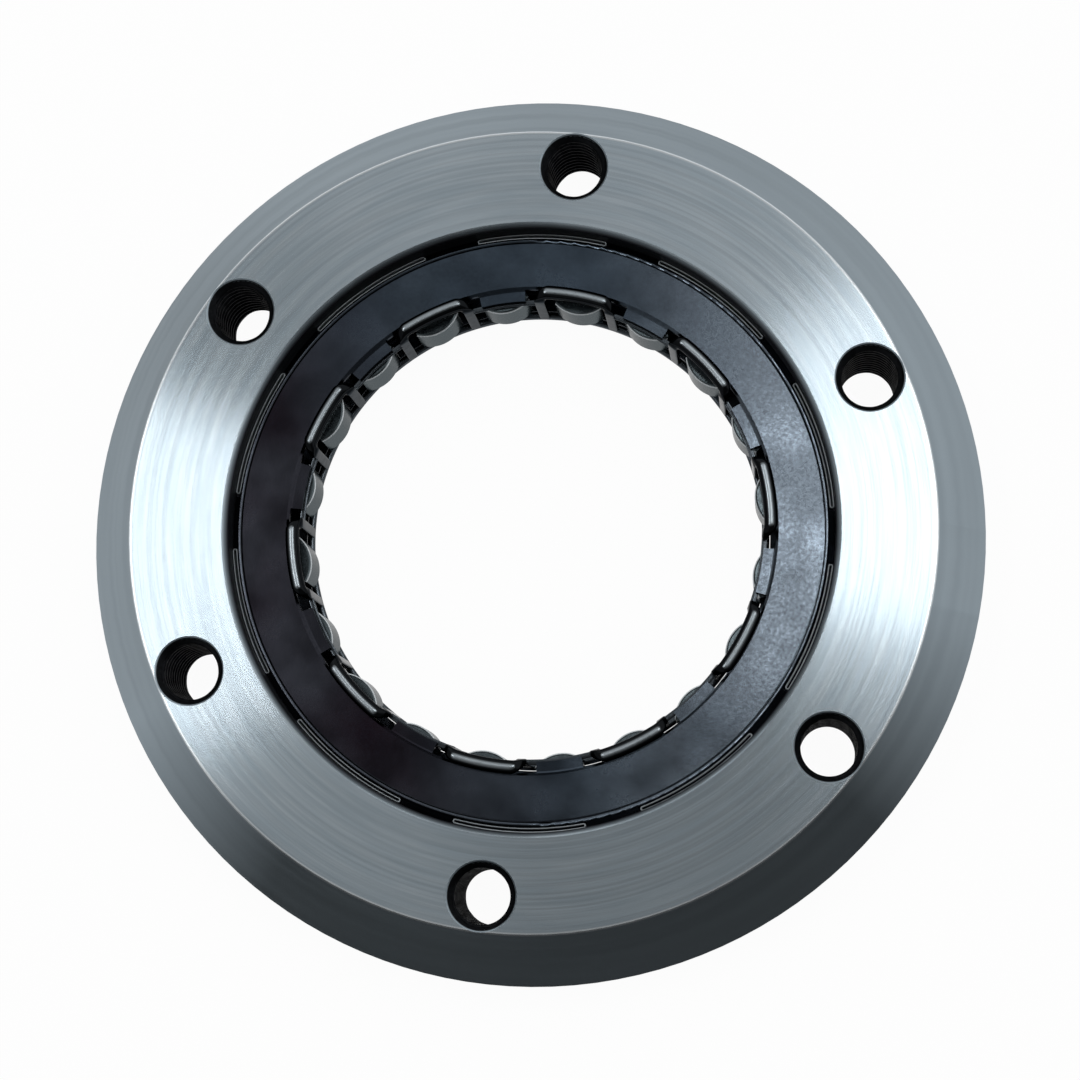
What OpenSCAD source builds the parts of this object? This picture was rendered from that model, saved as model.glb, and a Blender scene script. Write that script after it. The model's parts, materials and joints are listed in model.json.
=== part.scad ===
// One-way sprag clutch of an engine's starter drive, lying on its back face.
// Z runs along the axis from the back face to the turned front face; X and Y lie in the ring's plane.
// Lengths are in millimetres, angles in degrees counted from +X towards +Y.

/* [Housing ring] */
// Thickness of the ring, back face to front face
housing_t = 15; // [14:0.5:20]
// Wall left between the counterbore and the tapped holes; 3.85 gives a bolt circle of 90
bolt_land = 3.85; // [3:0.05:6]
// Number of tapped holes
bolt_count = 6; // [3:1:8]
// Angle of the first tapped hole
bolt_angle = 23.25; // [0:0.25:60]
// Nominal diameter of the thread in the holes
thread_d = 8; // [6:0.5:9]
// Chamfer at both mouths of each tapped hole
hole_chamfer = 0.3; // [0.1:0.05:0.6]
// Flat land left between a hole's wall and the bevel
outer_land = 0.2; // [0.1:0.05:3]
// Width of the bevel, seen along the axis
bevel_w = 6.3; // [3:0.1:9]
// Height of the bevel along the axis
bevel_h = 8; // [4:0.5:10]
// Chamfer along the edges of the back face
edge_chamfer = 0.8; // [0.3:0.1:1.2]
// Chamfer at the mouth of the front counterbore
mouth_chamfer = 0.65; // [0.2:0.05:1]

/* [Races] */
// Diameter of the hub that runs inside the sprags
hub_d = 55.5; // [50:0.1:60]
// Radial space between the hub and the race, which one size of sprag fills
sprag_space = 8.33; // [8.2:0.01:8.5]
// Width of the shoulder between the race and the counterbore
shoulder_w = 1.07; // [0.9:0.01:1.6]
// Depth of the shoulder below the front face
shoulder_depth = 4.3; // [3.8:0.1:5]

/* [Sprags] */
// Number of pairs of sprags, one pair for each lip of the inner cage
sprag_pairs = 10; // [8:1:11]
// Angle of the middle of the first lip
lip_angle = 7.3; // [0:0.1:36]
// Radius of the cam that bears on the race
outer_cam_r = 4.4; // [4:0.1:5]
// Radius of the cam that bears on the hub
inner_cam_r = 4.4; // [4:0.1:5]
// How far the inner cam stands aside of the outer cam
cam_lean = 1.58; // [1:0.02:2]
// Width of a sprag across its heads
sprag_w = 5.6; // [5:0.1:6]
// Width of a sprag across its waist
waist_w = 3.8; // [3:0.1:4.4]
// Radius of the hollow in each flank of a sprag
flank_r = 3.2; // [2.8:0.1:4]
// Chamfer round the ends of a sprag
sprag_chamfer = 0.3; // [0.1:0.05:0.5]
// How far the relaxed sprags stand inside the hub's surface
sprag_preload = 0.15; // [0.1:0.05:0.4]
// Clearance between a sprag and the race
race_clear = 0.08; // [0.02:0.01:0.1]
// Tilt of a sprag from relaxed to free-running
sprag_tilt = 12; // [6:1:14]

/* [Cages and spring] */
// Thickness of the sheet that the two cages are pressed from
sheet_t = 0.7; // [0.5:0.05:0.9]
// Height of the cages' rear edges above the ring's back face
cage_back = 2.8; // [2:0.1:3.4]
// Thickness of the side plate
plate_t = 0.9; // [0.7:0.05:1.2]
// Bevel along the plate's inner edge, under the lips
plate_bevel = 0.3; // [0.2:0.05:0.4]
// Gap between the race and the wall of the outer cage
wall_gap = 0.9; // [0.7:0.05:1.1]
// Gap between the hub and the inner cage
hub_gap = 0.45; // [0.3:0.05:0.8]
// Width of the rolled rim round the side plate
rim_w = 0.6; // [0.4:0.05:0.8]
// How far the rolled rim stands on the shoulder
rim_seat = 0.35; // [0.25:0.05:0.45]
// Width of the seam between the side plate and the rolled rim
seam_w = 0.12; // [0.05:0.01:0.2]
// Angle that one locating lug of the outer cage takes up
lug_angle = 10; // [6:0.5:14]
// Angle of the middle of the first lug
lug_start = 34.2; // [0:0.1:36]
// Radius of the bead that a lip is rolled to
bead_r = 0.85; // [0.7:0.05:1]
// Radius of the round end of a lip, a little fuller than its bead
lip_end_r = 0.89; // [0.74:0.01:1.06]
// How far a lip stands back from the cage's inner face
lip_set = 0.3; // [0.1:0.05:0.4]
// How far a lip laps over the plate's inner edge
lip_lap = 0.25; // [0.1:0.05:0.4]
// Width of a leg of the inner cage
leg_w = 1.3; // [0.9:0.1:1.6]
// Angle that one tongue of the side plate takes up
tongue_angle = 11; // [8:0.5:11.5]
// How far a tongue's tip is pressed down
tongue_drop = 0.5; // [0.3:0.05:0.6]
// Thickness of the ribbon spring
ribbon_t = 0.25; // [0.15:0.05:0.35]
// Width of the ribbon's rims and cross bars
ribbon_w = 0.7; // [0.5:0.1:0.7]
// Running clearance between pieces that move past each other
run_clear = 0.3; // [0.2:0.05:0.35]

/* [Hidden] */
$fn = 96;
// Overlap that joins solids of one piece
weld = 0.1;
// Reach of a cutting solid past the faces that it cuts
cut = 1;

hub_r = hub_d / 2;
race_r = hub_r + sprag_space;
counterbore_r = race_r + shoulder_w;
hole_r = thread_d / 2;
bolt_r = counterbore_r + bolt_land + hole_r;
face_r = bolt_r + hole_r + outer_land;
housing_r = face_r + bevel_w;

// Heights of the insert, worked down from the front face
shoulder_z = housing_t - shoulder_depth;
plate_z = shoulder_z + sheet_t;
plate_top = plate_z + plate_t;
window_front = shoulder_z - weld;
sprag_front = window_front - run_clear;
// Heights of the insert, worked up from its rear edge
flange_top = cage_back + sheet_t;
rear_rim_h = 0.4;
window_back = flange_top + rear_rim_h;
window_h = window_front - window_back;
sprag_back = window_back + run_clear;
sprag_len = sprag_front - sprag_back;

// One sprag on the X axis: cam centres, the points that touch the races and the line between them
sprag_count = 2 * sprag_pairs;
sprag_pitch = 360 / sprag_count;
pair_pitch = 360 / sprag_pairs;
pivot_r = race_r - race_clear - outer_cam_r;
apex_r = hub_r - sprag_preload;
foot_angle = asin(cam_lean / (apex_r + inner_cam_r));
inner_cam = (apex_r + inner_cam_r) * [cos(foot_angle), sin(foot_angle)];
foot = apex_r * [cos(foot_angle), sin(foot_angle)];
head = [race_r - race_clear, 0];
strut = head - foot;
strut_angle = atan2(strut.y, strut.x);
strut_mid = (head + foot) / 2;
// Offset of the sprag's middle line at radius r
function strut_y(r) = foot.y * (head.x - r) / strut.x;

// Outer cage: its wall hangs inside the race, its rim stands on the shoulder, its rear flange carries the ribbon
wall_r = race_r - wall_gap;
rim_r = race_r + rim_seat - rim_w;
rim_crown_z = plate_top - rim_w / 2;
lug_lift = 0.05;
window_swing = (wall_r - pivot_r) * sin(sprag_tilt);
head_half = sprag_w / 2 / cos(strut_angle) + run_clear;
window_y0 = strut_y(wall_r) - head_half - window_swing;
window_y1 = strut_y(wall_r - sheet_t) + head_half;

// Inner cage: a lip is a bead that bridges the two legs beside every other sprag and laps over the side plate
inner_wall_r = hub_r + hub_gap;
leg_r = inner_wall_r + sheet_t;
flange_r = leg_r + run_clear;
bead_centre_r = inner_wall_r + lip_set + bead_r;
plate_r = bead_centre_r + bead_r - lip_lap;
bevel_mid_r = plate_r + plate_bevel / 2;
bevel_mid_z = plate_top - plate_bevel / 2;
lip_reach = max(bead_r, lip_end_r) + run_clear;
bead_z = bevel_mid_z + sqrt(pow(lip_reach, 2) - pow(bevel_mid_r - bead_centre_r, 2));
leg_top = bead_z - weld;

// A tongue of the side plate passes over the head of each window between two lips
head_h = 0.3;
head_top = window_front + head_h;
tongue_back = head_top + run_clear;
tongue_tip_r = inner_wall_r + sheet_t / 2;
tongue_bend = 0.2;

// Ribbon spring: a strip at the height of the sprags' pivots
ribbon_front = plate_z - run_clear;
// The leaf's tip stays clear of the hollow flank when the sprag is tilted over
tilted_angle = strut_angle - sprag_tilt;
waist_n = strut_y(pivot_r) * cos(strut_angle) + waist_w / 2;
flank_sag = flank_r - sqrt(pow(flank_r, 2) - pow(waist_n * tan(tilted_angle), 2));
flank_y = (waist_n + flank_sag) / cos(tilted_angle);
ribbon_dip = ribbon_t / 2 + pivot_r - sqrt(pow(pivot_r, 2) - pow(flank_y, 2));
leaf_tip_y = flank_y - ribbon_dip * tan(tilted_angle) + run_clear;
waist_angle = asin(strut_y(pivot_r) / pivot_r);
bar_after_y = pivot_r * sin(waist_angle + sprag_pitch / 2) - ribbon_w;
bar_before_y = pivot_r * sin(waist_angle - sprag_pitch / 2) + ribbon_w;

function sprag_name(i) = str("sprag_", i < 10 ? "0" : "", i);
// Angle of the pivot of sprag i, which puts its inner cam under a lip or a tongue
function sprag_angle(i) = lip_angle - foot_angle + sprag_pitch * (i - 1);

// Ring between two radii and two heights
module band(r0, r1, z0, z1) {
    rotate_extrude()
        translate([r0, z0])
            square([r1 - r0, z1 - z0]);
}

// Steel ring: bevelled outside, race and counterbore inside, six tapped holes
module housing() {
    color("#8a979e")
        difference() {
            rotate_extrude()
                polygon([
                    [race_r + edge_chamfer, 0],
                    [housing_r - edge_chamfer, 0],
                    [housing_r, edge_chamfer],
                    [housing_r, housing_t - bevel_h],
                    [face_r, housing_t],
                    [counterbore_r + mouth_chamfer, housing_t],
                    [counterbore_r, housing_t - mouth_chamfer],
                    [counterbore_r, shoulder_z],
                    [race_r, shoulder_z],
                    [race_r, edge_chamfer]
                ]);
            for (i = [0:bolt_count - 1])
                rotate([0, 0, bolt_angle + i * 360 / bolt_count])
                    translate([bolt_r, 0, 0])
                        tapped_hole();
        }
}

// Hole at the thread's nominal diameter, chamfered at both mouths
module tapped_hole() {
    mouth_r = hole_r + hole_chamfer;
    translate([0, 0, -cut])
        cylinder(r = hole_r, h = housing_t + 2 * cut);
    translate([0, 0, housing_t - hole_chamfer])
        cylinder(r1 = hole_r, r2 = mouth_r + cut, h = hole_chamfer + cut);
    translate([0, 0, -cut])
        cylinder(r1 = mouth_r + cut, r2 = hole_r, h = hole_chamfer + cut);
}

// Pressed cage at the race: rear flange, windowed wall, shoulder flange, rolled rim and locating lugs
module outer_cage() {
    color("#3a3d47") {
        difference() {
            rotate_extrude() {
                polygon([
                    [flange_r, cage_back],
                    [wall_r, cage_back],
                    [wall_r, shoulder_z],
                    [rim_r + rim_w, shoulder_z],
                    [rim_r + rim_w, rim_crown_z],
                    [rim_r, rim_crown_z],
                    [rim_r, plate_z],
                    [wall_r - sheet_t, plate_z],
                    [wall_r - sheet_t, flange_top],
                    [flange_r, flange_top]
                ]);
                translate([rim_r + rim_w / 2, rim_crown_z])
                    circle(r = rim_w / 2);
            }
            for (i = [1:sprag_count])
                rotate([0, 0, sprag_angle(i)])
                    translate([wall_r - sheet_t - cut, window_y0, window_back])
                        cube([sheet_t + 2 * cut, window_y1 - window_y0, window_h]);
        }
        for (i = [0:sprag_pairs - 1])
            rotate([0, 0, lug_start - lug_angle / 2 + i * pair_pitch])
                rotate_extrude(angle = lug_angle)
                    lug_profile();
    }
}

// Section of a lug: just clear of the shoulder, sloping down to the counterbore's wall
module lug_profile() {
    root_r = rim_r + rim_w - weld;
    tip_r = counterbore_r - seam_w / 2;
    polygon([
        [root_r, shoulder_z + lug_lift],
        [tip_r, shoulder_z + lug_lift],
        [tip_r, shoulder_z + sheet_t / 2],
        [root_r, plate_z]
    ]);
}

// Front ring that closes the cages, with a tongue pressed down between every two lips
module side_plate() {
    color("#2a2c38") {
        rotate_extrude()
            polygon([
                [plate_r, plate_z],
                [rim_r - seam_w, plate_z],
                [rim_r - seam_w, plate_top],
                [plate_r + plate_bevel, plate_top],
                [plate_r, plate_top - plate_bevel]
            ]);
        for (i = [0:sprag_pairs - 1])
            rotate([0, 0, lip_angle + (i + 0.5) * pair_pitch - tongue_angle / 2])
                rotate_extrude(angle = tongue_angle)
                    tongue_profile();
    }
}

// Section of a tongue: bent down inside the plate's edge, then level to its tip
module tongue_profile() {
    root_r = plate_r + plate_bevel;
    bend_r = plate_r - tongue_bend;
    polygon([
        [root_r, plate_z + plate_t / 4],
        [root_r, plate_top - weld],
        [bend_r, plate_top - tongue_drop],
        [tongue_tip_r, plate_top - tongue_drop],
        [tongue_tip_r, tongue_back],
        [bend_r, tongue_back]
    ]);
}

// Pressed cage at the hub: a rear rim, a leg between every two sprags, rolled lips and low heads between them
module inner_cage() {
    color("#15161a") {
        difference() {
            band(inner_wall_r, leg_r, cage_back, leg_top);
            for (i = [0:sprag_pairs - 1])
                rotate([0, 0, lip_angle + i * pair_pitch]) {
                    wall_gap_between_legs(window_back, leg_top + cut);
                    rotate([0, 0, sprag_pitch]) {
                        wall_gap_between_legs(window_back, window_front);
                        wall_gap_between_legs(head_top, leg_top + cut);
                    }
                }
        }
        for (i = [0:sprag_pairs - 1])
            rotate([0, 0, lip_angle + i * pair_pitch])
                lip();
    }
}

// Cutter that opens the inner cage's wall between two legs, from one height to another
module wall_gap_between_legs(z0, z1) {
    gap_w = 2 * inner_wall_r * sin(sprag_pitch / 2) - leg_w;
    translate([inner_wall_r - cut, -gap_w / 2, z0])
        cube([sheet_t + 2 * cut, gap_w, z1 - z0]);
}

// One lip: a bead from leg to leg with round ends
module lip() {
    rotate([0, 0, -sprag_pitch / 2])
        rotate_extrude(angle = sprag_pitch)
            translate([bead_centre_r, bead_z])
                circle(r = bead_r);
    for (side = [-1, 1])
        rotate([0, 0, side * sprag_pitch / 2])
            translate([bead_centre_r, 0, bead_z])
                sphere(r = lip_end_r);
}

// Thin strip with a window for each sprag and a leaf that presses on its flank
module ribbon_spring() {
    color("#70767c")
        difference() {
            band(pivot_r - ribbon_t / 2, pivot_r + ribbon_t / 2, flange_top, ribbon_front);
            for (i = [1:sprag_count])
                rotate([0, 0, sprag_angle(i)])
                    ribbon_window();
        }
}

// Window in the ribbon round one sprag, which leaves a leaf standing from the next cross bar
module ribbon_window() {
    leaf_h = window_h / 3;
    translate([pivot_r - cut, bar_before_y, window_back])
        cube([2 * cut, leaf_tip_y - bar_before_y, window_h]);
    for (z = [0, window_h - leaf_h])
        translate([pivot_r - cut, bar_before_y, window_back + z])
            cube([2 * cut, bar_after_y - bar_before_y, leaf_h]);
}

// Cylinder of a cam with chamfered ends
module cam(r) {
    rotate_extrude()
        polygon([
            [0, 0],
            [r - sprag_chamfer, 0],
            [r, sprag_chamfer],
            [r, sprag_len - sprag_chamfer],
            [r - sprag_chamfer, sprag_len],
            [0, sprag_len]
        ]);
}

// One sprag: each cam trimmed to its head, with a hollow in each flank
module sprag(i) {
    color("#5d676b")
        rotate([0, 0, sprag_angle(i)])
            translate([0, 0, sprag_back])
                difference() {
                    union() {
                        sprag_head([pivot_r, 0], outer_cam_r, -weld);
                        sprag_head(inner_cam, inner_cam_r, weld - strut.x);
                    }
                    at_strut()
                        for (side = [-1, 1])
                            translate([0, side * (waist_w / 2 + flank_r), -cut])
                                cylinder(r = flank_r, h = sprag_len + 2 * cut);
                }
}

// Half of a sprag: the part of a cam that lies within the head width, from a place along the strut
module sprag_head(centre, r, start) {
    intersection() {
        translate([centre.x, centre.y, 0])
            cam(r);
        at_strut()
            translate([start, -sprag_w / 2, 0])
                cube([strut.x, sprag_w, sprag_len]);
    }
}

// Places its children at the middle of the strut, turned along it
module at_strut() {
    translate([strut_mid.x, strut_mid.y, 0])
        rotate([0, 0, strut_angle])
            children();
}

housing();
outer_cage();
side_plate();
inner_cage();
ribbon_spring();
for (i = [1:sprag_count])
    sprag(i);
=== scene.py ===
"""Looks of a one-way sprag clutch: finishes, tapped threads, rolled hub cage, slot edges and a white stage.

Lengths are in metres in the solids' own frame: Z is the ring's axis, and z = 0 is its back face.
"""
import json
import math

import bpy
import numpy as np
from bpy.props import FloatProperty, FloatVectorProperty, IntProperty, PointerProperty
from mathutils import Matrix, Vector


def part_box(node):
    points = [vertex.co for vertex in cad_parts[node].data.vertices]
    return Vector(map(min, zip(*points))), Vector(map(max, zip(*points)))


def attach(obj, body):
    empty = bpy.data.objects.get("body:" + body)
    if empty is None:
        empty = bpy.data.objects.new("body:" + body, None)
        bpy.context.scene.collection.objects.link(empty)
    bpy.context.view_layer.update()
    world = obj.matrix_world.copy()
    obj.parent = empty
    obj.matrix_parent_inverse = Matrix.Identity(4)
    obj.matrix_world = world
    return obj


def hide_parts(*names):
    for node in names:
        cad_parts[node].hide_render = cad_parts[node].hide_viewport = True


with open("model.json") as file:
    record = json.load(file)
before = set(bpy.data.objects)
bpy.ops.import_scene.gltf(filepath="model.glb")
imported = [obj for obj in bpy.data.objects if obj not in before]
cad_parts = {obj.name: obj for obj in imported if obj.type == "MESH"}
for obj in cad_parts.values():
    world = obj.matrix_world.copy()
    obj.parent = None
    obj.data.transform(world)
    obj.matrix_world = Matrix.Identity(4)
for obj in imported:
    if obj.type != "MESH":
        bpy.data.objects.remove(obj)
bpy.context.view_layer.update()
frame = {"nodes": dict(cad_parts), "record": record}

bl_info = {
    "name": "One-way Clutch Looks",
    "version": (1, 0, 0),
    "blender": (4, 5, 0),
    "location": "View3D > Sidebar > Clutch",
    "description": "Finishes, threads, hub cage and stage for a one-way sprag clutch",
    "category": "Object",
}

MM = 0.001
SPRAGS = sorted(name for name in frame["nodes"] if name.startswith("sprag_"))
BOLTS = next(mount for mount in frame["record"]["mounts"] if mount["name"] == "bolts")
HOUSING_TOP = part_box("housing")[1].z
# Radii on the ring's front face: its inner edge, its middle and its outer edge
COUNTERBORE_R = 37.15 * MM
WORKING_R = 43 * MM
FACE_R = 49.2 * MM
# How square the sections are: a leg's sheet, a rolled lip, which is round, and the edges of thin strips
LEG_SQUARENESS = 6
BEAD_SQUARENESS = 2
EDGE_SQUARENESS = 4
# Dark steels mirror little more at a grazing view than straight on
EDGE_TINT = (0.45, 0.45, 0.45, 1)
# Tool marks on the turned ring: length round the axis and width across it, in millimetres
FINE_MARKS = (14, 0.12)
BROAD_BANDS = (9, 0.9)
# The real feed is about 0.1 mm a turn, too fine to show, so these lines are drawn coarser
FEED_LINES = (60, 0.34)
# Sizes of the patterns that have no direction
OXIDE_GRAIN = 0.4 * MM
SHEET_PATCH = 22 * MM
SHEET_CLOUD = 7 * MM
SHEET_DIMPLE = 0.4 * MM
ROLLING_WAVE = 0.9 * MM
TUMBLING_GRIT = 0.3 * MM
# Second tones that the finishes are mottled or lined with, and two painted highlights: one along the face's
# outer edge and one along the foot of the chamfers
WORN_BAND = "#dfe6ea"
FEED_SHADE = "#5a646a"
# Painted highlight along the face's outer edge
EDGE_HIGHLIGHT = "#f2f6f8"
OXIDE_SHADE = "#26282b"
SHEET_SPECK = "#1d1f27"
WAVE_SHADE = "#1a1c1f"
GRIT_SHADE = "#4c565b"
# Painted highlight along the foot of the chamfers
CHAMFER_HIGHLIGHT = "#e6ecef"
# Ways across the sheet: along the first it is darkened with painted shade in its temper colours, and along
# the second it turns from blue to purple
SHADE_WAY = (-0.99, 0.1, 0)
PURPLE_WAY = (-0.94, -0.34, 0)
# The room is brighter behind the part and on its left
BEHIND = (0.6, 0.8, 0)
LEFT = (-1, 0, 0)
# Name, place, width along X, length along Y and watts of each soft box.
# The key box lights the right of the side plate, and the strips make the two fans on the turned face.
LAMPS = [
    ("key_box", (0.03, 0.11, 0.77), 0.06, 0.09, 0.1),
    ("right_strip", (0.2, 0.18, 0.77), 0.1, 0.29, 0.62),
    ("left_strip", (-0.36, 0.079, 0.77), 0.1, 0.29, 0.84),
]


def linear(code):
    """Turns an sRGB hex code into the linear red, green and blue that shaders read."""
    srgb = np.array([int(code[i:i + 2], 16) for i in (1, 3, 5)]) / 255
    return tuple(np.where(srgb <= 0.04045, srgb / 12.92, ((srgb + 0.055) / 1.055) ** 2.4))


def length(name, description, millimetres):
    """A length that the user can change, in millimetres here and in metres in the panel."""
    return FloatProperty(name=name, description=description, default=millimetres * MM,
                         unit="LENGTH", precision=5)


def colour(name, description, code):
    """A colour that the user can change, given as an sRGB hex code."""
    return FloatVectorProperty(name=name, description=description, default=linear(code),
                               subtype="COLOR", size=3, min=0, max=1)


class ThreadSizes(bpy.types.PropertyGroup):
    """Sizes of the thread cut in each bolt hole."""
    pitch: length("Pitch", "Distance from one turn to the next", 1.25)
    crest_r: length("Crest radius", "Radius at the crests, which stand in the hole", 3.4)
    mouth_r: length("Mouth radius", "Radius of the countersink at the ring's faces", 4.3)
    first_angle: FloatProperty(name="First hole", description="Angle of the first hole from +X",
                               default=math.radians(23.25), subtype="ANGLE")


class HubCageSizes(bpy.types.PropertyGroup):
    """Sizes of the pressed cage that the hub runs in."""
    inner_r: length("Inner radius", "Inner face of the cage's wall", 28.2)
    sheet: length("Sheet", "Thickness of the pressed sheet", 0.7)
    rim: length("Rear rim", "Thickness of the rear rim, which is upset outwards", 0.92)
    lip_r: length("Lip radius", "Distance of a lip's middle from the axis", 29.35)
    bead_r: length("Bead radius", "Radius that a lip is rolled to", 0.85)
    bead_z: length("Bead height", "Height of the middle of the rolled lips", 13.07)
    bend_r: length("Bend radius", "Bend where a lip turns down into a leg", 1.15)
    leg_w: length("Leg width", "Width of a leg between two windows", 1.3)
    back: length("Back", "Height of the cage's rear edge", 2.8)
    window_back: length("Window foot", "Height where the windows start", 3.9)
    window_front: length("Window head", "Height where the windows between the lips end", 10.6)
    head_top: length("Head top", "Top edge of the strip over those windows", 10.9)
    first_lip: FloatProperty(name="First lip", description="Angle of the first lip's middle from +X",
                             default=math.radians(7.3), subtype="ANGLE")
    pairs: IntProperty(name="Lips", description="Number of lips, each over one of two sprags",
                       default=10, min=3)


class SlotSizes(bpy.types.PropertyGroup):
    """Sizes of the collars round the long slots between the cage's lugs, at the foot of the counterbore."""
    mid_r: length("Middle radius", "Distance of a slot's middle line from the axis", 36.79)
    half_w: length("Half width", "Half the width between the walls of a collar", 0.22)
    wall: length("Wall", "Thickness of a collar's wall", 0.2)
    foot: length("Foot", "Height where a collar stands", 10.72)
    top: length("Top", "Height of a collar's edge", 11.75)
    half_span: FloatProperty(name="Half span", description="Angle from the middle of a slot to its end",
                             default=math.radians(12.2), subtype="ANGLE")
    first: FloatProperty(name="First slot", description="Angle of the first slot's middle from +X",
                         default=math.radians(16.2), subtype="ANGLE")
    count: IntProperty(name="Slots", description="Number of slots", default=10, min=1)


class FinishColours(bpy.types.PropertyGroup):
    """Colours of the finishes."""
    turned: colour("Turned steel", "Front face of the ring", "#b2c0c9")
    bevel: colour("Turned bevel", "Bevel and rim of the ring", "#909ca4")
    # The oiled bore colour is painted shade that darkens the counterbore and the race
    bore: colour("Oiled bore", "Counterbore and race, dark with old oil", "#2b2d31")
    oxide: colour("Black oxide", "Skin left in the bolt holes", "#17181a")
    sheet: colour("Heat-treated sheet", "Side plate and outer cage", "#6d7781")
    # The temper colours also serve as painted shade that darkens the sheet towards one side
    sheet_blue: colour("Blue temper", "Blue-black parts of the sheet", "#3f4a55")
    sheet_tint: colour("Temper tint", "Brown-purple parts of the sheet", "#1f171e")
    leg: colour("Legs", "Legs and rear rim of the hub cage", "#4c5257")
    # The lip colour is darker than the legs' as painted shade for the dark room that the lips mirror, and the
    # crest colour is a painted highlight
    lip: colour("Rolled lips", "Burnished black lips", "#1e2022")
    crest: colour("Lip crests", "Crests of the lips, rubbed bright", "#8f979c")
    sprag: colour("Sprags", "Tumbled bearing steel", "#5f696d")
    spring: colour("Ribbon", "Bright spring strip", "#8d9298")
    edge: colour("Slot edges", "Rubbed edges of the slots", "#a5acb0")


class StageSizes(bpy.types.PropertyGroup):
    """Camera and lights."""
    camera_x: length("Camera X", "Camera to the right of the axis", 29.6)
    camera_y: length("Camera Y", "Camera in front of the axis", -47.8)
    camera_height: length("Camera height", "Camera above the ring's front face", 310)
    lens: FloatProperty(name="Lens", description="Focal length on a 36 mm frame, in millimetres",
                        default=86.6, min=10, unit="CAMERA")
    aim_x: length("Aim X", "Point on the front face at the middle of the picture", 1.44)
    aim_y: length("Aim Y", "Point on the front face at the middle of the picture", -1.92)
    roll: FloatProperty(name="Roll", description="Turn of the camera about its own axis",
                        default=math.radians(0.42), subtype="ANGLE")
    light: FloatProperty(name="Light", description="Strength of the soft boxes", default=1.0, min=0)
    floor: colour("Floor", "Plain floor under the part", "#ffffff")


def grid_faces(rows, columns, wrap_rows, wrap_columns):
    """Corner numbers of the quads between neighbouring rows and columns of a grid."""
    i = np.arange(rows if wrap_rows else rows - 1)[:, None]
    j = np.arange(columns if wrap_columns else columns - 1)[None, :]
    below, beside = (i + 1) % rows, (j + 1) % columns
    corners = [i * columns + j, below * columns + j, below * columns + beside, i * columns + beside]
    return np.stack(np.broadcast_arrays(*corners), -1).reshape(-1, 4)


def signed_volume(points, quads):
    """Six times the volume inside a set of quads: positive where they point outwards."""
    a, b, c, d = (points[quads[:, k]] for k in range(4))
    return np.einsum("ij,ij->", a, np.cross(b, c)) + np.einsum("ij,ij->", a, np.cross(c, d))


def piece_from_grids(name, grids, sharp_angle=35):
    """Builds one object from closed surfaces.

    Each surface is a grid of points, rows by columns by 3, whose columns close on themselves. Its rows
    close too where wrap is true; where it is false, the first and last rows are closed by flat caps.
    """
    points, corners, sizes = [], [], []
    start = 0
    for grid, wrap in grids:
        rows, columns = grid.shape[:2]
        flat = grid.reshape(-1, 3)
        quads = grid_faces(rows, columns, wrap, True)
        caps = [] if wrap else [np.arange(columns), (rows - 1) * columns + np.arange(columns)[::-1]]
        inside_out = signed_volume(flat - flat.mean(0), quads) < 0
        if inside_out:
            quads = quads[:, ::-1]
            caps = [cap[::-1] for cap in caps]
        points.append(flat)
        corners += [start + quads.ravel()] + [start + cap for cap in caps]
        sizes += [np.full(len(quads), 4)] + [np.array([len(cap)]) for cap in caps]
        start += len(flat)
    points, corners, sizes = np.concatenate(points), np.concatenate(corners), np.concatenate(sizes)
    mesh = bpy.data.meshes.new(name)
    mesh.vertices.add(len(points))
    mesh.vertices.foreach_set("co", points.astype(np.float32).ravel())
    mesh.loops.add(len(corners))
    mesh.loops.foreach_set("vertex_index", corners.astype(np.int32))
    mesh.polygons.add(len(sizes))
    mesh.polygons.foreach_set("loop_start", np.concatenate([[0], np.cumsum(sizes)[:-1]]).astype(np.int32))
    mesh.update(calc_edges=True)
    if mesh.validate():
        raise RuntimeError(f"{name}: the surface had to be repaired")
    mesh.shade_smooth()
    mesh.set_sharp_from_angle(angle=math.radians(sharp_angle))
    piece = bpy.data.objects.new(name, mesh)
    bpy.context.scene.collection.objects.link(piece)
    return piece


def wrap_round(radius, angle, height):
    """Points at radius, angle and height about the Z axis, as one array."""
    return np.stack(np.broadcast_arrays(radius * np.cos(angle), radius * np.sin(angle), height), -1)


def rounded_loop(half_a, half_b, squareness, count):
    """Closed section |a/A|^n + |b/B|^n = 1 as two arrays; n = 2 is an ellipse, larger n is squarer."""
    turn = np.linspace(0, 2 * np.pi, count, endpoint=False)
    power = 2 / np.asarray(squareness)
    a = half_a * np.sign(np.cos(turn)) * np.abs(np.cos(turn)) ** power
    b = half_b * np.sign(np.sin(turn)) * np.abs(np.sin(turn)) ** power
    return a, b


def add_node(tree, kind, inputs=(), output=0, **settings):
    """Adds a shader node with its settings, fills its sockets and returns one of its outputs.

    Inputs are a list for the first sockets in order, or a dictionary by the sockets' names or numbers,
    of values or of other nodes' outputs. A mix of colours has them in sockets 6 and 7 and in output 2.
    """
    node = tree.nodes.new("ShaderNode" + kind)
    for key, value in settings.items():
        setattr(node, key, value)
    sockets = inputs if isinstance(inputs, dict) else dict(enumerate(inputs))
    for socket, value in sockets.items():
        if isinstance(value, bpy.types.NodeSocket):
            tree.links.new(value, node.inputs[socket])
        else:
            node.inputs[socket].default_value = value
    return node.outputs[output]


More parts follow.
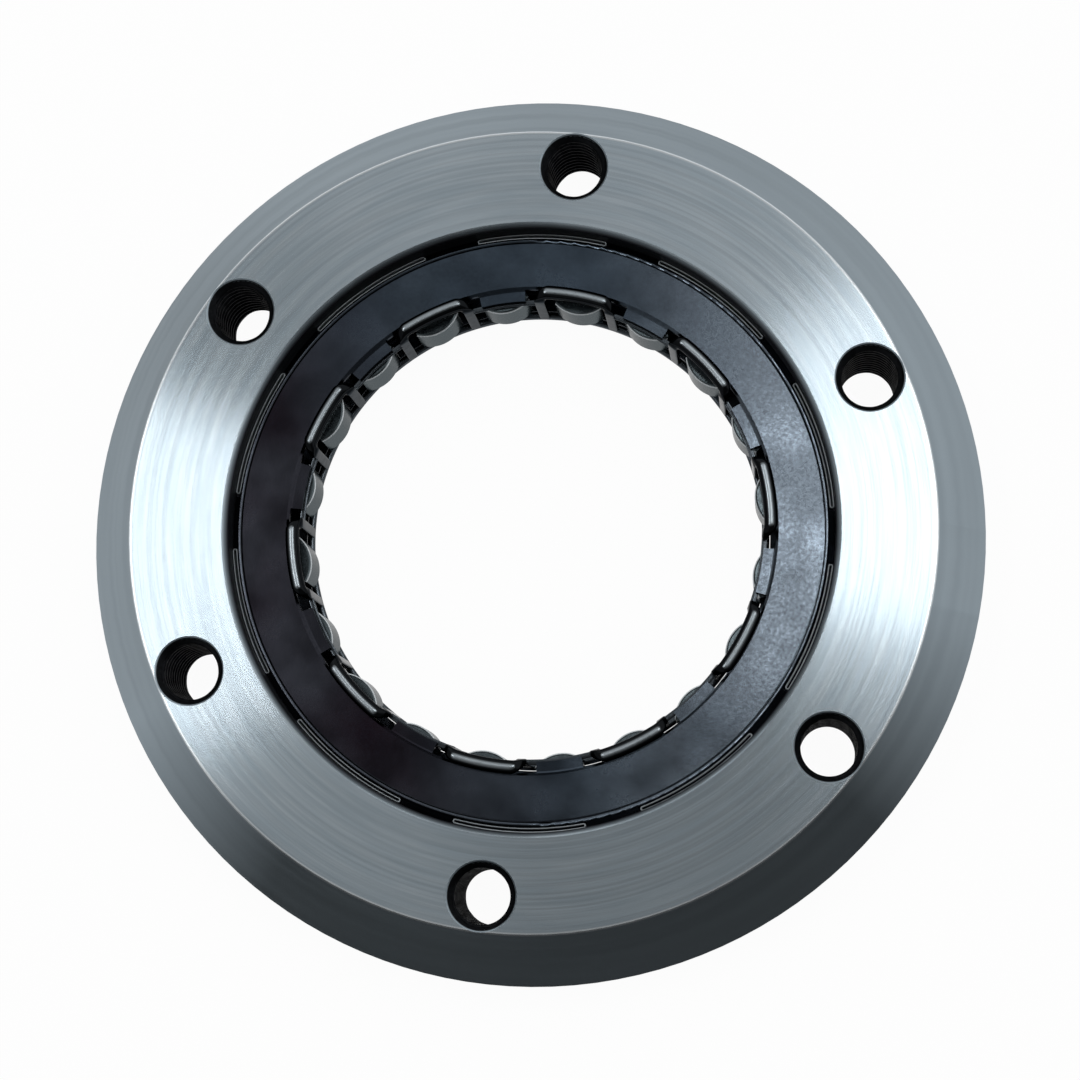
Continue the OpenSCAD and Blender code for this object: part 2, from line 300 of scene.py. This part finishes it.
def new_material(name, **sockets):
    """A metal with the given shader sockets: its material, node tree, shader and object coordinates."""
    material = bpy.data.materials.new(name)
    material.use_nodes = True
    tree = material.node_tree
    shader = tree.nodes["Principled BSDF"]
    shader.inputs["Metallic"].default_value = 1
    for socket, value in sockets.items():
        shader.inputs[socket.replace("_", " ")].default_value = value
    place = add_node(tree, "TexCoord", output="Object")
    return material, tree, shader, place


def rgba(values):
    """A colour's red, green and blue with full opacity."""
    return (*values, 1)


def ring_coordinates(tree, place, along_mm, across_mm):
    """Coordinates for marks that run round the axis: long along the circle, short across it.

    The direction from the axis is drawn on a circle whose radius is the face's middle radius over the
    marks' length, so the pattern has no seam; radius plus height is counted in widths of the marks.
    """
    flat = add_node(tree, "VectorMath", [place, (1, 1, 0)], operation="MULTIPLY")
    radius = add_node(tree, "VectorMath", [flat], "Value", operation="LENGTH")
    outward = add_node(tree, "VectorMath", [flat], operation="NORMALIZE")
    circle_r = WORKING_R / (along_mm * MM)
    circle = add_node(tree, "VectorMath", {0: outward, "Scale": circle_r}, operation="SCALE")
    height = add_node(tree, "SeparateXYZ", [place], "Z")
    across = add_node(tree, "Math", [radius, height], operation="ADD")
    count = add_node(tree, "Math", [across, 1 / (across_mm * MM)], operation="MULTIPLY")
    lift = add_node(tree, "CombineXYZ", {"Z": count})
    marks = add_node(tree, "VectorMath", [circle, lift], operation="ADD")
    return marks, radius, outward, height


def turned_steel(colours):
    """Bare steel faced on a lathe: fine rings that stretch a reflection across themselves.

    The eye sees two bright fans where the rings face the lights, grey between them, and a duller bevel. The
    counterbore is darkened with painted shade, and a painted highlight lines the face's outer edge.
    """
    material, tree, shader, place = new_material("turned_steel", Roughness=0.24, Anisotropic=1.0)
    marks, radius, outward, height = ring_coordinates(tree, place, *FINE_MARKS)
    broad = ring_coordinates(tree, place, *BROAD_BANDS)[0]
    rings = ring_coordinates(tree, place, *FEED_LINES)[0]
    fine = add_node(tree, "TexNoise", {"Vector": marks, "Scale": 1, "Detail": 2})
    bands = add_node(tree, "TexNoise", {"Vector": broad, "Scale": 1, "Detail": 3})
    lines = add_node(tree, "TexNoise", {"Vector": rings, "Scale": 1, "Detail": 1})
    # Where the bevel, the flat face, the counterbore (darkened with painted shade) and the face's outer edge
    # (lined with a painted highlight) are
    bevel = add_node(tree, "MapRange", [height, HOUSING_TOP - 0.3 * MM, HOUSING_TOP - 0.1 * MM, 1, 0])
    flat = add_node(tree, "MapRange", [bevel, 0, 1, 1, 0])
    bore = add_node(tree, "MapRange", [radius, COUNTERBORE_R + 0.05 * MM, COUNTERBORE_R + 0.55 * MM, 1, 0])
    outer = add_node(tree, "MapRange", [radius, FACE_R - 0.25 * MM, FACE_R - 0.1 * MM, 0, 0.6])
    edge = add_node(tree, "Math", [outer, flat], operation="MULTIPLY")
    # Pale worn bands, which fade out on the bevel, and dark feed lines
    band = add_node(tree, "MapRange", [bands, 0.35, 0.7, 0, 0.22])
    band_fade = add_node(tree, "MapRange", [bevel, 0, 1, 1, 0.05])
    band_share = add_node(tree, "Math", [band, band_fade], operation="MULTIPLY")
    line_share = add_node(tree, "MapRange", [lines, 0.34, 0.62, 0.16, 0])
    face = add_node(tree, "Mix", {0: bevel, 6: rgba(colours.turned), 7: rgba(colours.bevel)}, 2,
                    data_type="RGBA")
    worn = add_node(tree, "Mix", {0: band_share, 6: face, 7: rgba(linear(WORN_BAND))}, 2, data_type="RGBA")
    ringed = add_node(tree, "Mix", {0: line_share, 6: worn, 7: rgba(linear(FEED_SHADE))}, 2,
                      data_type="RGBA")
    # Painted shade darkens the counterbore and the race
    bore_shaded = add_node(tree, "Mix", {0: bore, 6: ringed, 7: rgba(colours.bore)}, 2, data_type="RGBA")
    # Painted highlight along the face's outer edge
    highlighted = add_node(tree, "Mix", {0: edge, 6: bore_shaded, 7: rgba(linear(EDGE_HIGHLIGHT))}, 2, data_type="RGBA")
    face_rough = add_node(tree, "MapRange", [fine, 0.3, 0.7, 0.21, 0.26])
    bevel_rough = add_node(tree, "MapRange", [bevel, 0, 1, 0, 0.08])
    rough = add_node(tree, "Math", [face_rough, bevel_rough], operation="ADD")
    bump = add_node(tree, "Bump", {"Strength": 0.15, "Distance": 0.012 * MM, "Height": lines})
    tree.links.new(highlighted, shader.inputs["Base Color"])
    tree.links.new(rough, shader.inputs["Roughness"])
    tree.links.new(bump, shader.inputs["Normal"])
    tree.links.new(outward, shader.inputs["Tangent"])
    return material


def black_oxide(colours):
    """Black oxide left in the tapped holes: dark, with dull crests and a bare line at the mouth."""
    material, tree, shader, place = new_material("black_oxide", Roughness=0.42, Specular_Tint=EDGE_TINT)
    grain = add_node(tree, "TexNoise", {"Vector": place, "Scale": 1 / OXIDE_GRAIN, "Detail": 3})
    grain_share = add_node(tree, "MapRange", [grain, 0.35, 0.65, 0, 0.5])
    skin = add_node(tree, "Mix", {0: grain_share, 6: rgba(colours.oxide), 7: rgba(linear(OXIDE_SHADE))}, 2,
                    data_type="RGBA")
    height = add_node(tree, "SeparateXYZ", [place], "Z")
    mouth = add_node(tree, "MapRange", [height, HOUSING_TOP - 0.2 * MM, HOUSING_TOP - 0.12 * MM, 0, 1])
    bare = add_node(tree, "Mix", {0: mouth, 6: skin, 7: rgba(colours.turned)}, 2, data_type="RGBA")
    tree.links.new(bare, shader.inputs["Base Color"])
    return material


def heat_treated_sheet(name, colours, shade_share):
    """Pressed sheet hardened in a furnace: blue-black and purple temper tints under a skin of fine dimples,
    laid on towards one side as painted shade.

    The dimples break up its shine, and clouds of duller skin make bright and dim patches.
    """
    material, tree, shader, place = new_material(name, Roughness=0.24, Specular_Tint=EDGE_TINT)
    patches = add_node(tree, "TexNoise", {"Vector": place, "Scale": 1 / SHEET_PATCH, "Detail": 2})
    clouds = add_node(tree, "TexNoise", {"Vector": place, "Scale": 1 / SHEET_CLOUD, "Detail": 3})
    dimples = add_node(tree, "TexNoise", {"Vector": place, "Scale": 1 / SHEET_DIMPLE, "Detail": 2,
                                          "Distortion": 0.4})
    # Painted shade in the temper colours darkens the sheet along one way, in patches, and the temper goes
    # from blue to purple along another
    darker = add_node(tree, "VectorMath", [place, SHADE_WAY], "Value", operation="DOT_PRODUCT")
    purple = add_node(tree, "VectorMath", [place, PURPLE_WAY], "Value", operation="DOT_PRODUCT")
    shade_reach = add_node(tree, "MapRange", [darker, -30 * MM, -5 * MM, 0, shade_share])
    tint_patch = add_node(tree, "MapRange", [patches, 0.35, 0.6, 0.75, 1])
    tint = add_node(tree, "Math", [shade_reach, tint_patch], operation="MULTIPLY")
    purple_share = add_node(tree, "MapRange", [purple, 4 * MM, 24 * MM, 0, 1])
    blue = rgba(colours.sheet_blue)
    temper = add_node(tree, "Mix", {0: purple_share, 6: blue, 7: rgba(colours.sheet_tint)}, 2,
                      data_type="RGBA")
    shaded_sheet = add_node(tree, "Mix", {0: tint, 6: rgba(colours.sheet), 7: temper}, 2, data_type="RGBA")
    speck_share = add_node(tree, "MapRange", [dimples, 0.3, 0.7, 0, 0.35])
    specks = add_node(tree, "Mix", {0: speck_share, 6: shaded_sheet, 7: rgba(linear(SHEET_SPECK))}, 2,
                      data_type="RGBA")
    cloud_rough = add_node(tree, "MapRange", [clouds, 0.35, 0.62, 0.13, 0.25])
    dimple_rough = add_node(tree, "MapRange", [dimples, 0.3, 0.7, 0, 0.04])
    rough = add_node(tree, "Math", [cloud_rough, dimple_rough], operation="ADD")
    bump = add_node(tree, "Bump", {"Strength": 0.13, "Distance": 0.03 * MM, "Height": dimples})
    tree.links.new(specks, shader.inputs["Base Color"])
    tree.links.new(rough, shader.inputs["Roughness"])
    tree.links.new(bump, shader.inputs["Normal"])
    return material


def burnished_black(colours, sizes):
    """Black sheet burnished by rolling: grey legs, and lips like a dark mirror, darker than the legs as
    painted shade, with a painted highlight along their crests.

    A lip's highlight is finer than the render can show, so the painted highlight along the crest is drawn as
    wide as it needs.
    """
    material, tree, shader, place = new_material("burnished_black", Roughness=0.2, Specular_Tint=EDGE_TINT)
    waves = add_node(tree, "TexNoise", {"Vector": place, "Scale": 1 / ROLLING_WAVE, "Detail": 2})
    height = add_node(tree, "SeparateXYZ", [place], "Z")
    middle = sizes.bead_z
    roll_r = sizes.bead_r
    # Painted shade: the lips are coloured darker than the legs of the same sheet
    rolled = add_node(tree, "MapRange", [height, middle - 1.5 * roll_r, middle - 0.6 * roll_r, 0, 1])
    # Painted highlight along the lips' crests
    crest = add_node(tree, "MapRange", [height, middle + 0.88 * roll_r, middle + 0.99 * roll_r, 0, 1])
    wave_share = add_node(tree, "MapRange", [waves, 0.35, 0.7, 0, 0.4])
    black = add_node(tree, "Mix", {0: rolled, 6: rgba(colours.leg), 7: rgba(colours.lip)}, 2,
                     data_type="RGBA")
    skin = add_node(tree, "Mix", {0: wave_share, 6: black, 7: rgba(linear(WAVE_SHADE))}, 2, data_type="RGBA")
    highlighted = add_node(tree, "Mix", {0: crest, 6: skin, 7: rgba(colours.crest)}, 2, data_type="RGBA")
    wave_rough = add_node(tree, "MapRange", [waves, 0.35, 0.7, 0.16, 0.22])
    rough = add_node(tree, "Math", [crest, 0.12, wave_rough], operation="MULTIPLY_ADD")
    bump = add_node(tree, "Bump", {"Strength": 0.15, "Distance": 0.02 * MM, "Height": waves})
    tree.links.new(highlighted, shader.inputs["Base Color"])
    tree.links.new(rough, shader.inputs["Roughness"])
    tree.links.new(bump, shader.inputs["Normal"])
    return material


def tumbled_steel(name, base_colour, roughness, edge_z):
    """Hard steel tumbled with grit: an even satin grey, and a painted highlight along the front edge.

    The edge's chamfer ends at the height edge_z, and the painted highlight lies along the chamfer's foot.
    """
    material, tree, shader, place = new_material(name, Roughness=roughness, Specular_Tint=EDGE_TINT)
    grit = add_node(tree, "TexNoise", {"Vector": place, "Scale": 1 / TUMBLING_GRIT, "Detail": 3})
    grit_share = add_node(tree, "MapRange", [grit, 0.3, 0.7, 0, 0.3])
    skin = add_node(tree, "Mix", {0: grit_share, 6: rgba(base_colour), 7: rgba(linear(GRIT_SHADE))}, 2,
                    data_type="RGBA")
    height = add_node(tree, "SeparateXYZ", [place], "Z")
    # Painted highlight: a pale band along the chamfer's foot
    line_foot = add_node(tree, "MapRange", [height, edge_z - 0.34 * MM, edge_z - 0.28 * MM, 0, 1])
    line_head = add_node(tree, "MapRange", [height, edge_z - 0.2 * MM, edge_z - 0.14 * MM, 1, 0])
    line = add_node(tree, "Math", [line_foot, line_head], operation="MULTIPLY")
    bright = add_node(tree, "Mix", {0: line, 6: skin, 7: rgba(linear(CHAMFER_HIGHLIGHT))}, 2, data_type="RGBA")
    satin = add_node(tree, "MapRange", [grit, 0.3, 0.7, roughness - 0.05, roughness + 0.06])
    rough = add_node(tree, "Math", [line, 0.35, satin], operation="MULTIPLY_ADD")
    bump = add_node(tree, "Bump", {"Strength": 0.12, "Distance": 0.01 * MM, "Height": grit})
    tree.links.new(bright, shader.inputs["Base Color"])
    tree.links.new(rough, shader.inputs["Roughness"])
    tree.links.new(bump, shader.inputs["Normal"])
    return material


def dress(piece, material):
    """Gives a piece one finish all over."""
    piece.data.materials.clear()
    piece.data.materials.append(material)


class CLUTCH_OT_finishes(bpy.types.Operator):
    """Give the turned ring, the cages, the ribbon and the sprags their finishes"""
    bl_idname = "clutch.finishes"
    bl_label = "Finish the Solids"

    def execute(self, context):
        colours = context.scene.clutch_colours
        nodes = frame["nodes"]
        dress(nodes["housing"], turned_steel(colours))
        dress(nodes["outer_cage"], heat_treated_sheet("cage_sheet", colours, shade_share=0.7))
        dress(nodes["side_plate"], heat_treated_sheet("plate_sheet", colours, shade_share=1.0))
        ribbon_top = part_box("ribbon_spring")[1].z
        strip = tumbled_steel("spring_strip", colours.spring, roughness=0.3, edge_z=ribbon_top)
        dress(nodes["ribbon_spring"], strip)
        sprag_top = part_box(SPRAGS[0])[1].z
        satin = tumbled_steel("tumbled_steel", colours.sprag, roughness=0.22, edge_z=sprag_top)
        for name in SPRAGS:
            dress(nodes[name], satin)
        return {"FINISHED"}


def thread_grid(sizes, angle, turns_round=60, steps_per_pitch=14):
    """Wall of one tapped hole, as a closed shell.

    At angle t and height z the radius goes from root to crest and back once a pitch, and is shifted by a
    pitch for each turn: a flat root of an eighth of the pitch, straight flanks and a flat crest of a quarter.
    A countersink of 45 degrees opens it at both faces. The shell's back lies on the hole's plain wall, and
    has rows only at the ends of that wall and of the countersinks.
    """
    root_share = 1 / 8
    crest_share = 1 / 4
    wall_r = BOLTS["dims"]["hole_r_mm"] * MM
    skin = 0.01 * MM
    count = round(HOUSING_TOP / sizes.pitch * steps_per_pitch)
    z = np.linspace(skin, HOUSING_TOP - skin, count)[:, None]
    turn = np.linspace(0, 2 * np.pi, turns_round, endpoint=False)[None, :]
    phase = np.mod(z / sizes.pitch - turn / (2 * np.pi), 1)
    rise = np.clip((np.abs(2 * phase - 1) - root_share) / (1 - root_share - crest_share), 0, 1)
    thread_r = wall_r - skin - (wall_r - skin - sizes.crest_r) * rise
    sink = sizes.mouth_r - skin - np.minimum(z, HOUSING_TOP - z)
    inner = np.maximum(thread_r, sink)
    sink_depth = sizes.mouth_r - wall_r
    back_z = np.array([HOUSING_TOP - skin, HOUSING_TOP - sink_depth, sink_depth, skin])[:, None]
    back = np.maximum(wall_r, sizes.mouth_r - np.minimum(back_z, HOUSING_TOP - back_z)) + 0 * turn
    radius = np.concatenate([inner, back])
    height = np.concatenate([z, back_z]) + 0 * turn
    centre = BOLTS["dims"]["pcd_mm"] / 2 * MM * np.array([np.cos(angle), np.sin(angle), 0])
    return wrap_round(radius, turn, height) + centre


class CLUTCH_OT_threads(bpy.types.Operator):
    """Cut the threads in the six bolt holes"""
    bl_idname = "clutch.threads"
    bl_label = "Tap the Holes"

    def execute(self, context):
        sizes = context.scene.clutch_threads
        count = BOLTS["dims"]["count"]
        angles = sizes.first_angle + np.arange(count) * 2 * np.pi / count
        piece = piece_from_grids("tapped_threads", [(thread_grid(sizes, angle), True) for angle in angles])
        dress(piece, black_oxide(context.scene.clutch_colours))
        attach(piece, "housing")
        return {"FINISHED"}


def staple_grid(sizes, lip_angle, leg_rows=5, bend_rows=15, lip_rows=23, columns=28):
    """One lip with its two legs: a section carried up a leg, round a bend, along the lip and down again.

    The path is drawn on the cage's unrolled wall and then wrapped round the axis. Along the bends the
    section goes from a leg's squared sheet to the lip's round bead.
    """
    reach = np.pi / sizes.pairs / 2
    leg_mid_r = sizes.inner_r + sizes.sheet / 2
    half = reach * sizes.lip_r
    foot = (sizes.back + sizes.window_back) / 2
    quarter = np.pi / 2
    bend = np.linspace(0, quarter, bend_rows)
    leg = np.ones(leg_rows)
    lip = np.ones(lip_rows)
    leg_z = np.linspace(foot, sizes.bead_z - sizes.bend_r, leg_rows + 1)[:-1]
    lip_a = np.linspace(-half + sizes.bend_r, half - sizes.bend_r, lip_rows + 2)[1:-1]
    rise_a = -half + sizes.bend_r * (1 - np.cos(bend))
    rise_z = sizes.bead_z - sizes.bend_r * (1 - np.sin(bend))
    along = np.concatenate([-half * leg, rise_a, lip_a, -rise_a[::-1], half * leg])
    height = np.concatenate([leg_z, rise_z, sizes.bead_z * lip, rise_z[::-1], leg_z[::-1]])
    heading = np.concatenate([quarter * leg, quarter - bend, 0 * lip, -bend, -quarter * leg])
    share = np.concatenate([0 * leg, bend / quarter, lip, bend[::-1] / quarter, 0 * leg])
    share = (share * share * (3 - 2 * share))[:, None]
    half_across = sizes.leg_w / 2 + (sizes.bead_r - sizes.leg_w / 2) * share
    half_deep = sizes.sheet / 2 + (sizes.bead_r - sizes.sheet / 2) * share
    squareness = LEG_SQUARENESS + (BEAD_SQUARENESS - LEG_SQUARENESS) * share
    across, deep = rounded_loop(half_across, half_deep, squareness, columns)
    mid_r = leg_mid_r + (sizes.lip_r - leg_mid_r) * share
    along = along[:, None] - across * np.sin(heading)[:, None]
    height = height[:, None] + across * np.cos(heading)[:, None]
    return wrap_round(mid_r + deep, lip_angle + along / sizes.lip_r, height)


def strip_grid(inner_r, thick, angle, z_low, z_high, spread, rows, columns=24):
    """Arc of sheet between two heights: a squared section carried round the axis, spread to each side."""
    deep, tall = rounded_loop(thick / 2, (z_high - z_low) / 2, EDGE_SQUARENESS, columns)
    turn = angle + np.linspace(-spread, spread, rows)[:, None]
    return wrap_round(inner_r + thick / 2 + deep, turn, (z_low + z_high) / 2 + tall)


class CLUTCH_OT_hub_cage(bpy.types.Operator):
    """Press the hub cage: rolled lips, legs, window heads and rear rim"""
    bl_idname = "clutch.hub_cage"
    bl_label = "Press the Hub Cage"

    def execute(self, context):
        sizes = context.scene.clutch_hub_cage
        lips = sizes.first_lip + np.arange(sizes.pairs) * 2 * np.pi / sizes.pairs
        heads = lips + np.pi / sizes.pairs
        reach = np.pi / sizes.pairs / 2
        grids = [(staple_grid(sizes, angle), False) for angle in lips]
        head_rows = 13
        rim_rows = 361
        grids += [(strip_grid(sizes.inner_r, sizes.sheet, angle, sizes.window_front, sizes.head_top,
                              reach, head_rows), False) for angle in heads]
        rim = strip_grid(sizes.inner_r, sizes.rim, 0, sizes.back, sizes.window_back, np.pi, rim_rows)[:-1]
        piece = piece_from_grids("hub_cage", [(rim, True)] + grids)
        dress(piece, burnished_black(context.scene.clutch_colours, sizes))
        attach(piece, "inner_cage")
        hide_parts("inner_cage")
        return {"FINISHED"}


def slot_edge_grid(sizes, angle, arc_steps=40, end_steps=9, columns=24):
    """Collar of one slot: a thin wall with a round edge, carried along a long loop with half-circle ends.

    The loop is drawn on the unrolled floor of the counterbore and then wrapped round the axis.
    """
    half = sizes.mid_r * sizes.half_span
    end = np.linspace(-np.pi / 2, np.pi / 2, end_steps)[1:-1]
    arc = np.linspace(-half, half, arc_steps)
    side = np.full(arc_steps, np.pi / 2)
    facing = np.concatenate([-side, end, side, end + np.pi])
    centre = np.concatenate([arc, np.full(end.size, half), arc[::-1], np.full(end.size, -half)])
    thick, tall = rounded_loop(sizes.wall / 2, (sizes.top - sizes.foot) / 2, EDGE_SQUARENESS, columns)
    reach = sizes.half_w + thick[None, :]
    along = centre[:, None] + reach * np.cos(facing)[:, None]
    across = reach * np.sin(facing)[:, None]
    height = (sizes.foot + sizes.top) / 2 + tall[None, :] + 0 * along
    return wrap_round(sizes.mid_r + across, angle + along / sizes.mid_r, height)


class CLUTCH_OT_slots(bpy.types.Operator):
    """Roll the edges of the slots between the cage's lugs"""
    bl_idname = "clutch.slots"
    bl_label = "Roll the Slots' Edges"

    def execute(self, context):
        sizes = context.scene.clutch_slots
        angles = sizes.first + np.arange(sizes.count) * 2 * np.pi / sizes.count
        piece = piece_from_grids("slot_edges", [(slot_edge_grid(sizes, angle), True) for angle in angles])
        colours = context.scene.clutch_colours
        dress(piece, tumbled_steel("rubbed_edge", colours.edge, roughness=0.4, edge_z=sizes.top))
        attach(piece, "housing")
        return {"FINISHED"}


def soft_box(name, place, width, long, power):
    """A rectangular soft box over the part that shines straight down."""
    light = bpy.data.lights.new(name, "AREA")
    light.shape = "RECTANGLE"
    light.size = width
    light.size_y = long
    light.energy = power
    lamp = bpy.data.objects.new(name, light)
    bpy.context.scene.collection.objects.link(lamp)
    lamp.location = place


def studio_world(context):
    """A grey room, brighter behind the part and on its left than towards the camera."""
    world = bpy.data.worlds.new("studio")
    world.use_nodes = True
    tree = world.node_tree
    background = tree.nodes["Background"]
    background.inputs["Color"].default_value = (1, 1, 1, 1)
    way = add_node(tree, "TexCoord", output="Generated")
    behind = add_node(tree, "VectorMath", [way, BEHIND], "Value", operation="DOT_PRODUCT")
    left = add_node(tree, "VectorMath", [way, LEFT], "Value", operation="DOT_PRODUCT")
    back_light = add_node(tree, "MapRange", [behind, 0.02, 0.3, 0.14, 0.74])
    left_light = add_node(tree, "MapRange", [left, 0.08, 0.2, 0, 0.22])
    room = add_node(tree, "Math", [back_light, left_light], operation="ADD")
    tree.links.new(room, background.inputs["Strength"])
    context.scene.world = world


def floor_paper(tone):
    """White paper: a glow makes it white to the eye and in mirrors, and the rest keeps the part's shadow."""
    glow_share = 0.96
    material = bpy.data.materials.new("paper_floor")
    material.use_nodes = True
    tree = material.node_tree
    shader = tree.nodes["Principled BSDF"]
    shader.inputs["Base Color"].default_value = rgba(tone)
    shader.inputs["Roughness"].default_value = 0.9
    shader.inputs["Specular IOR Level"].default_value = 0
    glow = add_node(tree, "Emission", {"Color": rgba(tone), "Strength": 1.0})
    looked_at = add_node(tree, "LightPath", output="Is Camera Ray")
    mirrored = add_node(tree, "LightPath", output="Is Glossy Ray")
    seen_through = add_node(tree, "LightPath", output="Is Transmission Ray")
    direct = add_node(tree, "Math", [looked_at, mirrored], operation="MAXIMUM")
    seen = add_node(tree, "Math", [direct, seen_through], operation="MAXIMUM")
    share = add_node(tree, "Math", [seen, glow_share], operation="MULTIPLY")
    mix = add_node(tree, "MixShader", [share, shader.outputs[0], glow])
    tree.links.new(mix, tree.nodes["Material Output"].inputs["Surface"])
    return material


def graded_card(scene, columns=75):
    """Curved card beside the part, pale at its ends and dark in the middle, that only reflections see.

    It is an arc of a cylinder about the ring's axis. It stands towards the camera, so the bevel there
    mirrors its shade.
    """
    card_r = 62 * MM
    edges = np.array([[0.5 * MM, 25 * MM]])
    middle = math.radians(276)
    half_span = math.radians(74)
    turn = np.linspace(middle - half_span, middle + half_span, columns)[:, None]
    points = wrap_round(card_r, turn, edges).reshape(-1, 3)
    mesh = bpy.data.meshes.new("graded_card")
    mesh.from_pydata(points.tolist(), [], grid_faces(columns, 2, False, False).tolist())
    card = bpy.data.objects.new("graded_card", mesh)
    scene.collection.objects.link(card)
    card.visible_camera = card.visible_diffuse = card.visible_shadow = False
    material = bpy.data.materials.new("graded_card")
    material.use_nodes = True
    tree = material.node_tree
    place = add_node(tree, "TexCoord", output="Object")
    towards = (math.cos(middle) / card_r, math.sin(middle) / card_r, 0)
    share = add_node(tree, "VectorMath", [place, towards], "Value", operation="DOT_PRODUCT")
    shade = add_node(tree, "MapRange", [share, 0.3, 0.72, 0.8, 0.07])
    glow = add_node(tree, "Emission", {"Strength": shade})
    tree.links.new(glow, tree.nodes["Material Output"].inputs["Surface"])
    dress(card, material)


def lay_floor(scene, tone, reach=3.0):
    """Lays a square of paper under the part, reaching so far to each side."""
    mesh = bpy.data.meshes.new("floor")
    corners = [(-reach, -reach, 0), (reach, -reach, 0), (reach, reach, 0), (-reach, reach, 0)]
    mesh.from_pydata(corners, [], [(0, 1, 2, 3)])
    floor = bpy.data.objects.new("floor", mesh)
    scene.collection.objects.link(floor)
    dress(floor, floor_paper(tone))


def place_camera(scene, sizes):
    """Sets the camera over the ring, aimed at a point on its front face and rolled about its own axis."""
    place = Vector((sizes.camera_x, sizes.camera_y, HOUSING_TOP + sizes.camera_height))
    aim = Vector((sizes.aim_x, sizes.aim_y, HOUSING_TOP))
    back = (place - aim).normalized()
    level_up = (Vector((0, 1, 0)) - back.y * back).normalized()
    level_right = level_up.cross(back)
    right = math.cos(sizes.roll) * level_right + math.sin(sizes.roll) * level_up
    up = math.cos(sizes.roll) * level_up - math.sin(sizes.roll) * level_right
    camera_data = bpy.data.cameras.new("camera")
    camera_data.lens = sizes.lens
    camera_data.sensor_width = 36
    camera_data.clip_start = 0.01
    camera = bpy.data.objects.new("camera", camera_data)
    scene.collection.objects.link(camera)
    camera.matrix_world = Matrix.Translation(place) @ Matrix((right, up, back)).transposed().to_4x4()
    scene.camera = camera


class CLUTCH_OT_stage(bpy.types.Operator):
    """Set up the floor, the soft boxes, the card, the room and the camera"""
    bl_idname = "clutch.stage"
    bl_label = "Set the Stage"

    def execute(self, context):
        sizes = context.scene.clutch_stage
        scene = context.scene
        scene.view_settings.view_transform = "Standard"
        studio_world(context)
        lay_floor(scene, sizes.floor)
        for name, place, width, long, power in LAMPS:
            soft_box(name, place, width, long, power * sizes.light)
        graded_card(scene)
        place_camera(scene, sizes)
        return {"FINISHED"}


class CLUTCH_PT_panel(bpy.types.Panel):
    """Sidebar panel that lists the steps and their sizes"""
    bl_idname = "CLUTCH_PT_panel"
    bl_label = "One-way Clutch"
    bl_space_type = "VIEW_3D"
    bl_region_type = "UI"
    bl_category = "Clutch"

    def draw(self, context):
        for operator, group in STEPS:
            box = self.layout.box()
            box.operator(operator.bl_idname)
            settings = getattr(context.scene, group)
            for key in settings.__annotations__:
                box.prop(settings, key)


GROUPS = {
    "clutch_colours": FinishColours,
    "clutch_threads": ThreadSizes,
    "clutch_hub_cage": HubCageSizes,
    "clutch_slots": SlotSizes,
    "clutch_stage": StageSizes,
}
STEPS = [
    (CLUTCH_OT_finishes, "clutch_colours"),
    (CLUTCH_OT_threads, "clutch_threads"),
    (CLUTCH_OT_hub_cage, "clutch_hub_cage"),
    (CLUTCH_OT_slots, "clutch_slots"),
    (CLUTCH_OT_stage, "clutch_stage"),
]
CLASSES = [*GROUPS.values(), *(operator for operator, _ in STEPS), CLUTCH_PT_panel]


def register():
    """Adds the classes and hangs each group of sizes on the scene."""
    for cls in CLASSES:
        bpy.utils.register_class(cls)
    for name, group in GROUPS.items():
        setattr(bpy.types.Scene, name, PointerProperty(type=group))


def unregister():
    """Takes away what register added."""
    for name in GROUPS:
        delattr(bpy.types.Scene, name)
    for cls in reversed(CLASSES):
        bpy.utils.unregister_class(cls)


def main():
    """Makes every piece in order."""
    register()
    for operator, _ in STEPS:
        group, name = operator.bl_idname.split(".")
        getattr(getattr(bpy.ops, group), name)()


if __name__ == "__main__":
    main()
